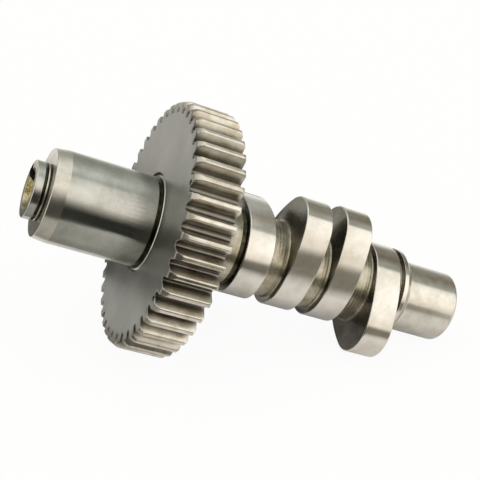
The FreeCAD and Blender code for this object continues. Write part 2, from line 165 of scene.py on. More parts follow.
def steelFinish(name, look):
    material = bpy.data.materials.new(name)
    material.use_nodes = True
    tree = material.node_tree
    shader = tree.nodes["Principled BSDF"]
    shader.inputs["Metallic"].default_value = 1.0
    shader.inputs["Anisotropic"].default_value = look["stretch"]
    tree.links.new(acrossMarks(tree), shader.inputs["Tangent"])
    lined, station, radius = turnedPlace(tree)

    # Tool marks that run round the axis: fine lines on cylinders, fine rings on faces
    both = addNode(tree, "ShaderNodeMath", {0: station, 1: radius})
    across = addNode(tree, "ShaderNodeMath", {
        0: both.outputs[0], 1: 1 / look["lineMm"]}, operation="MULTIPLY")
    slow = addNode(tree, "ShaderNodeVectorMath", {
        0: lined, "Scale": pattern["alongMark"]}, operation="SCALE")
    markPlace = addNode(tree, "ShaderNodeVectorMath", {
        0: slow.outputs[0], 1: (0, 1, 1)}, operation="MULTIPLY")
    markShift = addNode(tree, "ShaderNodeCombineXYZ", {"X": across.outputs[0]})
    markSpread = addNode(tree, "ShaderNodeVectorMath", {
        0: markPlace.outputs[0], 1: markShift.outputs[0]})
    marks = addNode(tree, "ShaderNodeTexNoise", {
        "Vector": markSpread.outputs[0], "Scale": 1.0, "Detail": 3.0, "Roughness": 0.6,
    })

    # Blotches of stain and old oil, a few millimetres across, and the fine grain of the steel
    blotches = addNode(tree, "ShaderNodeTexNoise", {
        "Vector": lined, "Scale": 1 / look["blotchMm"], "Detail": 4.0, "Roughness": 0.62,
    })
    grain = addNode(tree, "ShaderNodeTexNoise", {
        "Vector": lined, "Scale": 1 / look["grainMm"], "Detail": 2.0, "Roughness": 0.6,
    })
    mixed = addNode(tree, "ShaderNodeMath", {
        0: grain.outputs["Fac"], 1: look["grainTint"], 2: blotches.outputs["Fac"],
    }, operation="MULTIPLY_ADD")
    centred = addNode(tree, "ShaderNodeMath", {
        0: mixed.outputs[0], 1: look["grainTint"] / 2}, operation="SUBTRACT")
    stained = addNode(tree, "ShaderNodeValToRGB", {"Fac": centred.outputs[0]})
    setRamp(stained, [
        (pattern[part + "At"], colour(look[part])) for part in ("stain", "base", "bright")])
    lineShade = addNode(tree, "ShaderNodeMapRange", {
        "Value": marks.outputs["Fac"], "From Min": pattern["low"], "From Max": pattern["high"],
        "To Min": 1 - look["lineTint"], "To Max": 1.0,
    })
    tint = addNode(tree, "ShaderNodeVectorMath", {
        0: stained.outputs[0], "Scale": lineShade.outputs[0]}, operation="SCALE")
    # Optional darkening by radius ("foot": painted shade in tooth gaps) and by distance along the
    # shaft ("front")
    for place, part in ((radius, "foot"), (station, "front")):
        if part in look:
            low, high, dark = look[part]
            shade = addNode(tree, "ShaderNodeMapRange", {
                "Value": place, "From Min": low, "From Max": high, "To Min": dark, "To Max": 1.0,
            }, interpolation_type="SMOOTHSTEP")
            tint = addNode(tree, "ShaderNodeVectorMath", {
                0: tint.outputs[0], "Scale": shade.outputs[0]}, operation="SCALE")
    tree.links.new(tint.outputs[0], shader.inputs["Base Color"])

    dull = addNode(tree, "ShaderNodeMapRange", {
        "Value": blotches.outputs["Fac"], "From Min": pattern["low"], "From Max": pattern["high"],
        "To Min": look["rough"] - look["roughSpread"],
        "To Max": look["rough"] + look["roughSpread"],
    })
    tree.links.new(dull.outputs[0], shader.inputs["Roughness"])

    lineHeight = addNode(tree, "ShaderNodeMath", {
        0: marks.outputs["Fac"], 1: look["lineDeep"]}, operation="MULTIPLY")
    height = addNode(tree, "ShaderNodeMath", {
        0: grain.outputs["Fac"], 1: look["grainDeep"], 2: lineHeight.outputs[0],
    }, operation="MULTIPLY_ADD")
    bump = addNode(tree, "ShaderNodeBump", {"Height": height.outputs[0], "Distance": 0.001})
    tree.links.new(bump.outputs[0], shader.inputs["Normal"])
    return material


# Sizes in mm. Tool marks and grain are several times coarser here than on the real steel,
# where they are too fine to show at this distance.
finishes = {
    # Cylindrical grinding: mirrors in long soft bands along the shaft
    "groundJournal": steelFinish("groundJournalSteel", {
        "stretch": 1.0, "rough": 0.17, "roughSpread": 0.012,
        "lineMm": 0.12, "lineTint": 0.06, "lineDeep": 0.003,
        "blotchMm": 8, "grainMm": 0.35, "grainTint": 0.12, "grainDeep": 0.002,
        "stain": "#ADADA6", "base": "#BABBB4", "bright": "#C4C5BF",
    }),
    # The same stone at a slant: paler and satin
    "groundLead": steelFinish("groundLeadSteel", {
        "stretch": 0.5, "rough": 0.25, "roughSpread": 0.03,
        "lineMm": 0.15, "lineTint": 0.06, "lineDeep": 0.004,
        "blotchMm": 6, "grainMm": 0.35, "grainTint": 0.15, "grainDeep": 0.003,
        "stain": "#C4C0B4", "base": "#D2CEC4", "bright": "#DCD9D1",
    }),
    # Cam grinding and polishing: the brightest and sharpest mirror
    "groundLobe": steelFinish("groundLobeSteel", {
        "stretch": 0.9, "rough": 0.14, "roughSpread": 0.008,
        "lineMm": 0.14, "lineTint": 0.06, "lineDeep": 0.0012,
        "blotchMm": 7, "grainMm": 0.35, "grainTint": 0.12, "grainDeep": 0.0004,
        "stain": "#CDC9C0", "base": "#D8D5CE", "bright": "#E1DFDA",
    }),
    # Ground for a needle bearing and handled since: a softer mirror, clouded with stain
    "groundEnd": steelFinish("groundEndSteel", {
        "stretch": 0.9, "rough": 0.22, "roughSpread": 0.012,
        "lineMm": 0.12, "lineTint": 0.06, "lineDeep": 0.0015,
        "blotchMm": 4, "grainMm": 0.35, "grainTint": 0.2, "grainDeep": 0.0006,
        "stain": "#C6C2B6", "base": "#D1CEC5", "bright": "#D9D7D0",
    }),
    # Lathe turning left as cut: brown-grey with rings that catch the light
    "turnedNeck": steelFinish("turnedNeckSteel", {
        "stretch": 0.6, "rough": 0.26, "roughSpread": 0.03,
        "lineMm": 0.25, "lineTint": 0.22, "lineDeep": 0.006,
        "blotchMm": 5, "grainMm": 0.4, "grainTint": 0.15, "grainDeep": 0.0015,
        "stain": "#948D79", "base": "#ACA693", "bright": "#C1BCAD",
    }),
    # Faced on the lathe and oiled: dark, with faint rings
    "turnedSide": steelFinish("turnedSideSteel", {
        "stretch": 0.5, "rough": 0.24, "roughSpread": 0.04,
        "lineMm": 0.2, "lineTint": 0.15, "lineDeep": 0.01,
        "blotchMm": 6, "grainMm": 0.4, "grainTint": 0.2, "grainDeep": 0.003,
        "stain": "#6B695D", "base": "#7D7B70", "bright": "#8E8C83",
    }),
    # Grooves and recesses: nearly black, old oil with painted shade for their depth
    "oiledGroove": steelFinish("oilAndPaintedShadeSteel", {
        "stretch": 0.3, "rough": 0.32, "roughSpread": 0.05,
        "lineMm": 0.2, "lineTint": 0.2, "lineDeep": 0.006,
        "blotchMm": 2, "grainMm": 0.3, "grainTint": 0.3, "grainDeep": 0.004,
        "stain": "#302E25", "base": "#474437", "bright": "#5E5A4B",
    }),
    # Drilled and tapped: yellowish with cutting oil, glints on the crests
    "tappedHole": steelFinish("tappedHoleSteel", {
        "stretch": 0.2, "rough": 0.3, "roughSpread": 0.05,
        "lineMm": 0.3, "lineTint": 0.3, "lineDeep": 0.01,
        "blotchMm": 2, "grainMm": 0.3, "grainTint": 0.3, "grainDeep": 0.004,
        "stain": "#70663F", "base": "#A89D72", "bright": "#D6CDAC",
    }),
    # Faced and tumbled: an even grey without a clear mirror
    "gearFace": steelFinish("turnedGearFaceSteel", {
        "stretch": 0.3, "rough": 0.36, "roughSpread": 0.03,
        "lineMm": 0.4, "lineTint": 0.06, "lineDeep": 0.004,
        "blotchMm": 16, "grainMm": 0.4, "grainTint": 0.12, "grainDeep": 0.004,
        "stain": "#878883", "base": "#92938E", "bright": "#9E9F9A",
    }),
    # Hobbed: satin flanks, with painted shade that darkens the colour from the tips towards the
    # roots
    "gearTooth": steelFinish("hobbedToothSteel", {
        "stretch": 0.2, "rough": 0.31, "roughSpread": 0.04,
        "lineMm": 0.3, "lineTint": 0.05, "lineDeep": 0.003,
        "blotchMm": 4, "grainMm": 0.45, "grainTint": 0.2, "grainDeep": 0.0015,
        "foot": (31.3, 34.3, 0.34),  # painted shade, darkest in the gaps: from radius, to radius, shade
        "front": (33.1, 35.3, 0.6),  # greyer on the lead-in: from station, to station, shade
        "stain": "#C2BAA8", "base": "#D5D0C5", "bright": "#E2DED5",
    }),
}
print("steel finishes made")


# Sizes in mm and degrees, from the nose to the case end
shaft = {
    "sides": 160,  # steps round the shaft
    "holeRadius": 3.3, "holeDepth": 20.0, "holeTip": 1.9,
    "holeMouth": 5.6, "holeMouthDepth": 2.6,
    "noseRadius": 7.94, "noseLand": 2.15, "noseGroove": 0.8, "noseGrooveDepth": 1.0,
    "noseRing": 0.45, "noseRoot": 0.39, "noseRootDepth": 0.7,
    "journalRadius": 12.7, "journalLength": 28.05, "leadLength": 3.9, "leadDepth": 0.5,
    "undercut": 1.11, "undercutDepth": 0.7,
    "seatRadius": 13.89, "seatLength": 13.8, "seatChamfer": 0.69,
    "shoulderRadius": 16.5, "shoulderWidth": 2.2,
    "neckRadius": 11.2, "neckLengths": (9.65, 5.4, 4.95, 5.6),
    "neckCorner": 0.6, "firstNeckCorner": 0.7,
    # Where a neck's corner bends, in shares of it: (from the lobe, above the neck)
    "bendBefore": (0.25, 0.25), "bendAfter": (0.75, 0.25),
    "firstNeckShadow": 0.7,  # painted shadow: the first neck's last 0.7 mm before lobe 1 takes the near-black groove finish
    "ringPitch": 0.95, "ringDepth": 0.018, "ringSteps": 4,
    "collarGap": 1.54, "collarRadius": 13.07, "collarLand": 1.26, "collarTaper": 2.0,
    "collarFoot": 0.35,
    "endRadius": 10.319, "endLength": 17.0, "endChamfer": 0.8,
    "centreMouth": 3.2, "centreCone": 3.0, "centrePilot": 1.47, "centreDepth": 6.0,
    "slotAngle": -64.4, "slotWidth": 3.3, "slotDepth": 1.8, "slotWall": 0.45,
}
lobe = {
    "width": 8.2, "base": 13.07, "lift": 8.28, "nose": 9.35, "flank": 33.7,
    "edge": 0.3, "edgeSteps": 4,
    "sideInset": 1.5, "landInset": 1.6,  # edge widths to the rings that keep side and land flat
    "angles": (-80.6, 8.0, 0.6, 123.0),  # clock angles of the noses
}
shaftSlots = [
    "gearFace", "groundJournal", "groundEnd", "groundLead", "groundLobe",
    "turnedNeck", "turnedSide", "tappedHole", "oiledGroove",
]
cutterOver = 1  # mm that a cutter stands out of the piece it cuts


# Radius of a lobe at an angle from its nose: nose circle, flank circle, base circle
def lobeRadius(turn):
    turn = np.abs((turn + np.pi) % (2 * np.pi) - np.pi)
    base, nose, flank = lobe["base"], lobe["nose"], lobe["flank"]
    reach = base + lobe["lift"] - nose
    flankX = ((flank - base) ** 2 - (flank - nose) ** 2 + reach ** 2) / (2 * reach)
    flankY = math.sqrt((flank - base) ** 2 - flankX ** 2)
    lean = math.atan2(flankY, reach - flankX)
    noseEnd = math.atan2(nose * math.sin(lean), reach + nose * math.cos(lean))
    baseStart = math.atan2(flankY, -flankX)
    noseRoot = np.maximum(nose ** 2 - (reach * np.sin(turn)) ** 2, 0)
    onNose = reach * np.cos(turn) + np.sqrt(noseRoot)
    across = turn + math.atan2(flankY, flankX)
    far = math.hypot(flankX, flankY)
    flankRoot = np.maximum(flank ** 2 - (far * np.sin(across)) ** 2, 0)
    onFlank = far * np.cos(across) + np.sqrt(flankRoot)
    return np.where(turn < noseEnd, onNose, np.where(turn < baseStart, onFlank, base))


# Corners of the turned outline from the bottom of the nose hole to the first neck:
# (distance along the axis, radius, how far it is softened, finish of the run that follows)
def headCorners():
    s = shaft
    nose, journal, seat = s["noseRadius"], s["journalRadius"], s["seatRadius"]
    groove, root = nose - s["noseGrooveDepth"], nose - s["noseRootDepth"]
    relief = journal - s["undercutDepth"]
    corners = [
        (s["holeDepth"] + s["holeTip"], 0, 0, "tappedHole"),
        (s["holeDepth"], s["holeRadius"], 0.1, "tappedHole"),
        (s["holeMouthDepth"], s["holeRadius"], 0.15, "tappedHole"),
        (0, s["holeMouth"], 0.1, "groundLead"),
        (0, nose, 0.32, "groundJournal"),
    ]
    z = s["noseLand"]
    corners += [(z, nose, 0.12, "oiledGroove"), (z, groove, 0.1, "oiledGroove")]
    z += s["noseGroove"]
    corners += [(z, groove, 0.1, "oiledGroove"), (z, nose, 0.1, "groundLead")]
    z += s["noseRing"]
    corners += [(z, nose, 0.1, "oiledGroove"), (z, root, 0.06, "oiledGroove")]
    z += s["noseRoot"]
    corners += [(z, root, 0.06, "groundLead"), (z, journal - s["leadDepth"], 0.3, "groundLead")]
    corners += [(z + s["leadLength"], journal, 0.06, "groundJournal")]
    z += s["journalLength"]
    corners += [(z, journal, 0.12, "oiledGroove"), (z, relief, 0.08, "oiledGroove")]
    z += s["undercut"]
    corners += [
        (z, relief, 0.08, "oiledGroove"),
        (z, seat - s["seatChamfer"], 0.08, "groundJournal"),
        (z + s["seatChamfer"], seat, 0.05, "groundJournal"),
    ]
    z += s["seatLength"]
    corners += [(z, seat, 0, "turnedSide"), (z, s["shoulderRadius"], 0.2, "groundJournal")]
    z += s["shoulderWidth"]
    corners += [
        (z, s["shoulderRadius"], 0.2, "turnedSide"),
        (z, s["neckRadius"], 0.5, "turnedNeck"),
    ]
    return corners, z


# The corners between the last lobe and the centre hole in the far end
def tailCorners(z):
    s = shaft
    neck, end, pilot = s["neckRadius"], s["endRadius"], s["centrePilot"]
    corners = [(z, neck, 0.2, "turnedNeck")]
    z += s["collarGap"]
    corners += [(z, neck, 0.2, "turnedNeck"), (z, s["collarRadius"], 0.12, "groundLobe")]
    z += s["collarLand"]
    corners += [(z, s["collarRadius"], 0.1, "groundLobe")]
    z += s["collarTaper"]
    corners += [(z, neck, 0.1, "groundLobe")]
    z += s["collarFoot"]
    corners += [(z, neck, 0.1, "turnedSide"), (z, end, 0.1, "groundEnd")]
    z += s["endLength"]
    return corners + [
        (z - s["endChamfer"], end, 0.5, "groundEnd"),
        (z, end - s["endChamfer"], 0.5, "turnedSide"),
        (z, s["centreMouth"], 0.1, "turnedSide"),
        (z - s["centreCone"], pilot, 0.1, "tappedHole"),
        (z - s["centreDepth"], pilot, 0.1, "tappedHole"),
        (z - s["centreDepth"], 0, 0, "tappedHole"),
    ]


# Rounds each corner of an outline over a short length, with a ring beside it that keeps flat
# runs flat
def soften(corners):
    longest = 0.35  # of the run beside a corner
    beside = 0.25  # of the softened length
    bend = (0, 0.35, 0.65, 1)  # shares of the way round the corner
    rings = []
    for index, (z, radius, soft, finish) in enumerate(corners):
        here = np.array([z, radius])
        if soft == 0 or index in (0, len(corners) - 1):
            rings.append((z, radius, finish))
            continue
        before = np.array(corners[index - 1][:2]) - here
        after = np.array(corners[index + 1][:2]) - here
        backLength, onLength = np.linalg.norm(before), np.linalg.norm(after)
        reach = min(soft, longest * backLength, longest * onLength)
        first = here + reach * before / backLength
        last = here + reach * after / onLength
        wasFinish = corners[index - 1][3]
        rings.append((*(first + beside * reach * before / backLength), wasFinish))
        for share in bend:
            point = (1 - share) ** 2 * first + 2 * share * (1 - share) * here + share ** 2 * last
            rings.append((*point, wasFinish if share < 0.5 else finish))
        rings.append((*(last + beside * reach * after / onLength), finish))
    return rings


# The rings of one lobe that starts at z, with its rounded edges
def lobeRings(z, outline):
    edge, steps = lobe["edge"], lobe["edgeSteps"]
    side, land = outline - lobe["sideInset"] * edge, lobe["landInset"] * edge
    bends = [math.pi / 2 * step / steps for step in range(steps + 1)]
    rings = [(z, side, "turnedSide")]
    for bend in bends:
        drop = edge * (1 - math.sin(bend))
        rings.append((z + edge * (1 - math.cos(bend)), outline - drop, "groundLobe"))
    rings.append((z + land, outline, "groundLobe"))
    z += lobe["width"]
    rings.append((z - land, outline, "groundLobe"))
    for bend in bends:
        drop = edge * (1 - math.cos(bend))
        rings.append((z - edge * (1 - math.sin(bend)), outline - drop, "groundLobe"))
    rings.append((z, side, "turnedSide"))
    return rings


# Every ring of the shaft as (distance, radii round it, finish)
def shaftRings():
    turns = np.arange(shaft["sides"]) * 2 * np.pi / shaft["sides"]
    ones = np.ones(shaft["sides"])
    head, z = headCorners()
    rings = [(place, radius * ones, finish) for place, radius, finish in soften(head)]
    neck, corner, pitch = shaft["neckRadius"], shaft["neckCorner"], shaft["ringPitch"]
    for number, (length, angle) in enumerate(zip(shaft["neckLengths"], lobe["angles"])):
        start, shadow, depth, neckEnd = corner, 0, shaft["ringDepth"], "turnedNeck"
        # The first neck has no rings, and its end beside lobe 1 takes the near-black groove finish
        # as painted shadow
        if number == 0:
            start, shadow = shaft["firstNeckCorner"], shaft["firstNeckShadow"]
            depth, neckEnd = 0, "oiledGroove"
        for place in np.arange(z + start, z + length - corner - shadow, pitch / shaft["ringSteps"]):
            ripple = depth * math.cos(2 * math.pi * (place - z) / pitch)
            rings.append((place, (neck + ripple) * ones, "turnedNeck"))
        z += length
        rings.append((z - corner - shadow, neck * ones, neckEnd))
        back, up = shaft["bendBefore"]
        rings.append((z - back * corner, (neck + up * corner) * ones, neckEnd))
        rings.append((z, (neck + corner) * ones, "turnedSide"))
        rings += lobeRings(z, lobeRadius(turns - math.radians(angle)))
        z += lobe["width"]
        rings.append((z, (neck + corner) * ones, "turnedSide"))
        if number < len(lobe["angles"]) - 1:
            on, up = shaft["bendAfter"]
            rings.append((z + on * corner, (neck + up * corner) * ones, "turnedNeck"))
    tail = soften(tailCorners(z))
    rings += [(place, radius * ones, finish) for place, radius, finish in tail]
    return turns, rings


# A mesh object whose faces have the finishes that are listed for them
def addFinished(name, places, faces, faceFinishes, slots):
    mesh = bpy.data.meshes.new(name)
    mesh.from_pydata(places, [], faces)
    for slot in slots:
        mesh.materials.append(finishes[slot])
    mesh.polygons.foreach_set("material_index", [slots.index(finish) for finish in faceFinishes])
    return addObject(name, mesh)


# A closed turned body from its rings, in mm, with its axis on Z
def loftRings(name, turns, rings, slots):
    places = []
    loops = []
    for z, radii, finish in rings:
        start = len(places)
        if not radii.any():  # closes on the axis
            places.append((0, 0, z))
            loops.append([start] * len(turns))
        else:
            places += [(r * math.cos(t), r * math.sin(t), z) for r, t in zip(radii, turns)]
            loops.append(list(range(start, start + len(turns))))
    faces = []
    faceFinishes = []
    for index in range(len(rings) - 1):
        low, high = loops[index], loops[index + 1]
        for j in range(len(turns)):
            k = (j + 1) % len(turns)
            faces.append(list(dict.fromkeys([low[j], low[k], high[k], high[j]])))
            faceFinishes.append(rings[index][2])
    return addFinished(name, places, faces, faceFinishes, slots)


# A block that cuts at a clock angle, from an inner to an outer radius and from low to high
def blockCutter(clock, inner, outer, width, low, high, finish, slots):
    half = width / 2
    foot = ((inner, -half), (outer, -half), (outer, half), (inner, half))
    places = [(x, y, z) for z in (low, high) for x, y in foot]
    faces = [(3, 2, 1, 0), (4, 5, 6, 7), (0, 1, 5, 4), (1, 2, 6, 5), (2, 3, 7, 6), (3, 0, 4, 7)]
    cutter = addFinished("cutter", places, faces, [finish] * len(faces), slots)
    cutter.data.transform(Matrix.Rotation(math.radians(clock), 4, "Z"))
    return cutter


turns, rings = shaftRings()
camshaft = loftRings("camshaftTurned", turns, rings, shaftSlots)
noseSlot = blockCutter(
    shaft["slotAngle"], 0, shaft["noseRadius"] - shaft["slotWall"], shaft["slotWidth"],
    -cutterOver, shaft["slotDepth"], "turnedSide", shaftSlots)
cutAway(camshaft, [noseSlot])
finishPiece(camshaft, "camshaft")
print("camshaft turned:", len(camshaft.data.polygons), "faces")


gear = {
    "start": 32.95, "width": 13.8, "teeth": 42, "pitchRadius": 33.3375, "pressure": 20.0,
    "tip": 34.925, "flankSteps": 6,
    "root": 31.35, "rootRise": 0.45, "rootSteps": (0.7, 0.4, 0.15),
    # The softened tip, in shares of tipRound: how far across, how far down, and how far down
    # the width of the gap is taken
    "tipRound": 0.34, "tipCurve": ((1, 0, 0), (0.35, 0.1, 0), (0.02, 0.45, 0.45)),
    "frontRadius": 34.0, "leadLength": 1.7, "leadEase": 0.7, "edge": 0.3, "rearRound": 1.05,
    # How far from each face its rings lie, and how far the face's own finish reaches
    "frontSteps": (
        0, 0.035, 0.09, 0.165, 0.24, 0.3, 0.5, 0.75, 1.0, 1.25, 1.5, 1.75, 2.05, 2.4, 2.6),
    "rearSteps": (1.3, 1.05, 0.85, 0.65, 0.45, 0.3, 0.18, 0.09, 0.03, 0),
    "faceReach": 0.09, "faceRings": (22.0, 29.0, 30.6),
    "boreRadius": 13.9, "boreChamfer": 0.3,
    "keyway": 1.75, "keyWidth": 3.215, "keyClock": -90,
    "markRadius": 0.78, "markPoint": 0.2, "markDepth": 0.8, "markCentre": 31.8,
    "markAbove": 0.5, "markSides": 20, "markedTeeth": (5.86, -0.82),
    "joinDistance": 0.002,
}
gearSlots = ["gearFace", "gearTooth", "oiledGroove"]


# Half of a tooth gap at a radius, as an angle, for involute teeth
def halfGap(radius):
    pressure = math.radians(gear["pressure"])
    slant = math.acos(min(1.0, gear["pitchRadius"] * math.cos(pressure) / radius))
    unwound = (math.tan(slant) - slant) - (math.tan(pressure) - pressure)
    return math.pi / (2 * gear["teeth"]) + unwound


# From the middle of one tooth, over the gap, to the middle of the next: (angle, radius)
def gapOutline():
    tip, foot, soft = gear["tip"], gear["root"] + gear["rootRise"], gear["tipRound"]
    middle = math.pi / gear["teeth"]
    half = [(middle, tip), ((middle + halfGap(tip)) / 2, tip)]
    for across, down, gapDown in gear["tipCurve"]:
        half.append((halfGap(tip - gapDown * soft) + across * soft / tip, tip - down * soft))
    for radius in np.linspace(tip - soft, foot, gear["flankSteps"]):
        half.append((halfGap(radius), radius))
    for share in gear["rootSteps"]:
        rise = gear["rootRise"] * (1 - math.sqrt(1 - share ** 2))
        half.append((halfGap(foot) * share, gear["root"] + rise))
    return half + [(0.0, gear["root"])] + [(-angle, radius) for angle, radius in reversed(half)]


# How far a quarter circle of a radius lies below its top, at a distance from its start
def roundDrop(radius, distance):
    return radius - math.sqrt(radius ** 2 - (radius - min(distance, radius)) ** 2)


# One forty-second of the gear as a closed strip, whose copies meet at the tooth middles
def gearSector():
    outline = np.array(gapOutline())[::-1]
    angles, radii = outline[:, 0], outline[:, 1]
    plain = np.stack([radii * np.cos(angles), radii * np.sin(angles)], 1)
    along = np.gradient(plain, axis=0)
    normals = np.stack([along[:, 1], -along[:, 0]], 1)
    normals /= np.linalg.norm(normals, axis=1)[:, None]
    radial = np.stack([np.cos(angles), np.sin(angles)], 1)
    normals[[0, -1]] = radial[[0, -1]]

    # The outline cut down to a radius and drawn in by the rounding of its edge
    def toothRing(z, largest, inset):
        kept = np.minimum(radii, largest)
        push = np.where((radii > largest)[:, None], radial, normals)
        return z, radial * kept[:, None] - push * inset

    low, high = gear["start"], gear["start"] + gear["width"]
    bore, chamfer = gear["boreRadius"], gear["boreChamfer"]
    lead, ease, reach = gear["leadLength"], gear["leadEase"], gear["faceReach"]
    slope = (gear["tip"] - gear["frontRadius"]) / lead
    rings = [((low + chamfer, radial * bore), "oiledGroove")]
    for radius in (bore + chamfer, *gear["faceRings"]):
        rings.append(((low, radial * radius), "gearFace"))
    for z in gear["frontSteps"]:
        if z < lead - ease:
            drop = slope * (lead - z)
        else:
            drop = slope * max(0.0, lead + ease - z) ** 2 / (4 * ease)
        ring = toothRing(low + z, gear["tip"] - drop, roundDrop(gear["edge"], z))
        rings.append((ring, "gearFace" if z < reach else "gearTooth"))
    for z in gear["rearSteps"]:
        drop = roundDrop(gear["rearRound"], z)
        ring = toothRing(high - z, gear["tip"] - drop, roundDrop(gear["edge"], z))
        rings.append((ring, "gearTooth" if z > reach else "gearFace"))
    for radius in (*reversed(gear["faceRings"]), bore + chamfer):
        rings.append(((high, radial * radius), "gearFace"))
    rings.append(((high - chamfer, radial * bore), "gearFace"))

    count = len(angles)
    places = [(x, y, z) for (z, ring), finish in rings for x, y in ring]
    faces = []
    faceFinishes = []
    for index in range(len(rings)):
        here, there = index * count, (index + 1) % len(rings) * count
        for j in range(count - 1):
            faces.append((here + j, here + j + 1, there + j + 1, there + j))
            faceFinishes.append(rings[index][1])
    return addFinished("timingGearCut", places, faces, faceFinishes, gearSlots)


# A tree with its inputs, each a name and the end of a socket type, and its Geometry output
def startTree(name, inputs):
    tree = bpy.data.node_groups.new(name, "GeometryNodeTree")
    for label, kind in inputs.items():
        tree.interface.new_socket(label, in_out="INPUT", socket_type="NodeSocket" + kind)
    tree.interface.new_socket("Geometry", in_out="OUTPUT", socket_type="NodeSocketGeometry")
    return tree, addNode(tree, "NodeGroupInput").outputs


def setInput(modifier, name, value):
    for item in modifier.node_group.interface.items_tree:
        if item.in_out == "INPUT" and item.name == name:
            modifier[item.identifier] = value


# Turns copies of its geometry round Z and joins them where they meet
def copiesRoundAxis():
    tree, given = startTree("copiesRoundAxis", {
        "Geometry": "Geometry", "Count": "Int", "Join Distance": "Float",
        "Tooth Slot": "Int", "Tooth Material": "Material",
    })
    points = addNode(tree, "GeometryNodePoints", {"Count": given["Count"]})
    index = addNode(tree, "GeometryNodeInputIndex")
    step = addNode(tree, "ShaderNodeMath", {0: 2 * math.pi, 1: given["Count"]}, operation="DIVIDE")
    angle = addNode(tree, "ShaderNodeMath", {
        0: index.outputs[0], 1: step.outputs[0]}, operation="MULTIPLY")
    turn = addNode(tree, "ShaderNodeCombineXYZ", {"Z": angle.outputs[0]})
    copies = addNode(tree, "GeometryNodeInstanceOnPoints", {
        "Points": points.outputs[0], "Instance": given["Geometry"], "Rotation": turn.outputs[0],
    })
    real = addNode(tree, "GeometryNodeRealizeInstances", {0: copies.outputs[0]})
    joined = addNode(tree, "GeometryNodeMergeByDistance", {
        "Geometry": real.outputs[0], "Distance": given["Join Distance"],
    })
    slot = addNode(tree, "GeometryNodeInputMaterialIndex")
    onTeeth = addNode(tree, "FunctionNodeCompare", {
        "A": slot.outputs[0], "B": given["Tooth Slot"]}, data_type="INT", operation="EQUAL")
    dressed = addNode(tree, "GeometryNodeSetMaterial", {
        "Geometry": joined.outputs[0], "Selection": onTeeth.outputs[0],
        "Material": given["Tooth Material"],
    })
    addNode(tree, "NodeGroupOutput", {0: dressed.outputs[0]})
    return tree


# The punched timing mark beside a tooth
def coneCutter(tooth):
    clock = math.pi / 2 - tooth * 2 * math.pi / gear["teeth"]
    turns = np.arange(gear["markSides"]) * 2 * np.pi / gear["markSides"]
    slope = (gear["markRadius"] - gear["markPoint"]) / gear["markDepth"]
    mouth, bottom = gear["start"] - gear["markAbove"], gear["start"] + gear["markDepth"]
    mouthRadius = gear["markRadius"] + gear["markAbove"] * slope
    outline = [(mouth, 0), (mouth, mouthRadius), (bottom, gear["markPoint"]), (bottom, 0)]
    rings = [(z, 0 * turns + radius, "oiledGroove") for z, radius in outline]
    cone = loftRings("cutter", turns, rings, gearSlots)
    middle = (gear["markCentre"] * math.cos(clock), gear["markCentre"] * math.sin(clock), 0)
    cone.data.transform(Matrix.Translation(middle))
    return cone


timingGear = gearSector()
toothRing = timingGear.modifiers.new("toothRing", "NODES")
toothRing.node_group = copiesRoundAxis()
setInput(toothRing, "Count", gear["teeth"])
setInput(toothRing, "Join Distance", gear["joinDistance"])
setInput(toothRing, "Tooth Slot", gearSlots.index("gearTooth"))
setInput(toothRing, "Tooth Material", finishes["gearTooth"])
settle(timingGear)
keywayCut = blockCutter(
    gear["keyClock"], 0, gear["boreRadius"] + gear["keyway"], gear["keyWidth"],
    gear["start"] - cutterOver, gear["start"] + gear["width"] + cutterOver,
    "gearFace", gearSlots)
cutAway(timingGear, [keywayCut] + [coneCutter(tooth) for tooth in gear["markedTeeth"]])
finishPiece(timingGear, "timing_gear")
print("timing gear cut:", len(timingGear.data.polygons), "faces")


thread = {
    "pitch": 1.27, "radius": 3.35, "section": 0.42, "sectionSides": 6,
    "from": 2.0, "length": 15.0, "stepsPerTurn": 40,
}


# A ridge that follows a helix, as wide as its section
def helixRidge():
    tree, given = startTree("helixRidge", {
        "Turns": "Float", "Length": "Float", "Radius": "Float", "Section": "Float",
        "Steps": "Int", "Sides": "Int", "Material": "Material",
    })
    path = addNode(tree, "GeometryNodeCurveSpiral", {
        "Resolution": given["Steps"], "Rotations": given["Turns"], "Height": given["Length"],
        "Start Radius": given["Radius"], "End Radius": given["Radius"],
    })
    upright = addNode(tree, "GeometryNodeSetCurveNormal", {"Curve": path.outputs[0]}, mode="Z_UP")
    section = addNode(tree, "GeometryNodeCurvePrimitiveCircle", {
        "Resolution": given["Sides"], "Radius": given["Section"],
    })
    ridge = addNode(tree, "GeometryNodeCurveToMesh", {
        "Curve": upright.outputs[0], "Profile Curve": section.outputs[0], "Fill Caps": True,
    })
    real = addNode(tree, "GeometryNodeRealizeInstances", {0: ridge.outputs[0]})
    dressed = addNode(tree, "GeometryNodeSetMaterial", {
        0: real.outputs[0], "Material": given["Material"],
    })
    addNode(tree, "NodeGroupOutput", {0: dressed.outputs[0]})
    return tree


noseThread = addObject("noseThread", bpy.data.meshes.new("noseThread"))
ridge = noseThread.modifiers.new("helixRidge", "NODES")
ridge.node_group = helixRidge()
setInput(ridge, "Turns", thread["length"] / thread["pitch"])
setInput(ridge, "Length", thread["length"])
setInput(ridge, "Radius", thread["radius"])
setInput(ridge, "Section", thread["section"])
setInput(ridge, "Steps", thread["stepsPerTurn"])
setInput(ridge, "Sides", thread["sectionSides"])
setInput(ridge, "Material", finishes["tappedHole"])
settle(noseThread)
noseThread.data.transform(Matrix.Translation((0, 0, thread["from"])))
finishPiece(noseThread)
print("thread cut:", len(noseThread.data.polygons), "faces")

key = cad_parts["gear_key"]
key.data.materials.clear()
key.data.materials.append(finishes["turnedSide"])


studio = {
    "floorSize": 1.6,  # m
    "floorColour": "#F8F4F2",
    "whiteShare": 0.94,  # how much of the floor shows as background white
    "mirroredShare": 0.3,  # the same in the steel, where the rest keeps the shadow under it
    "skyLight": 1.6,
    "fadeEarly": 0.001,  # keeps a card whole that fades only from its far edge
}


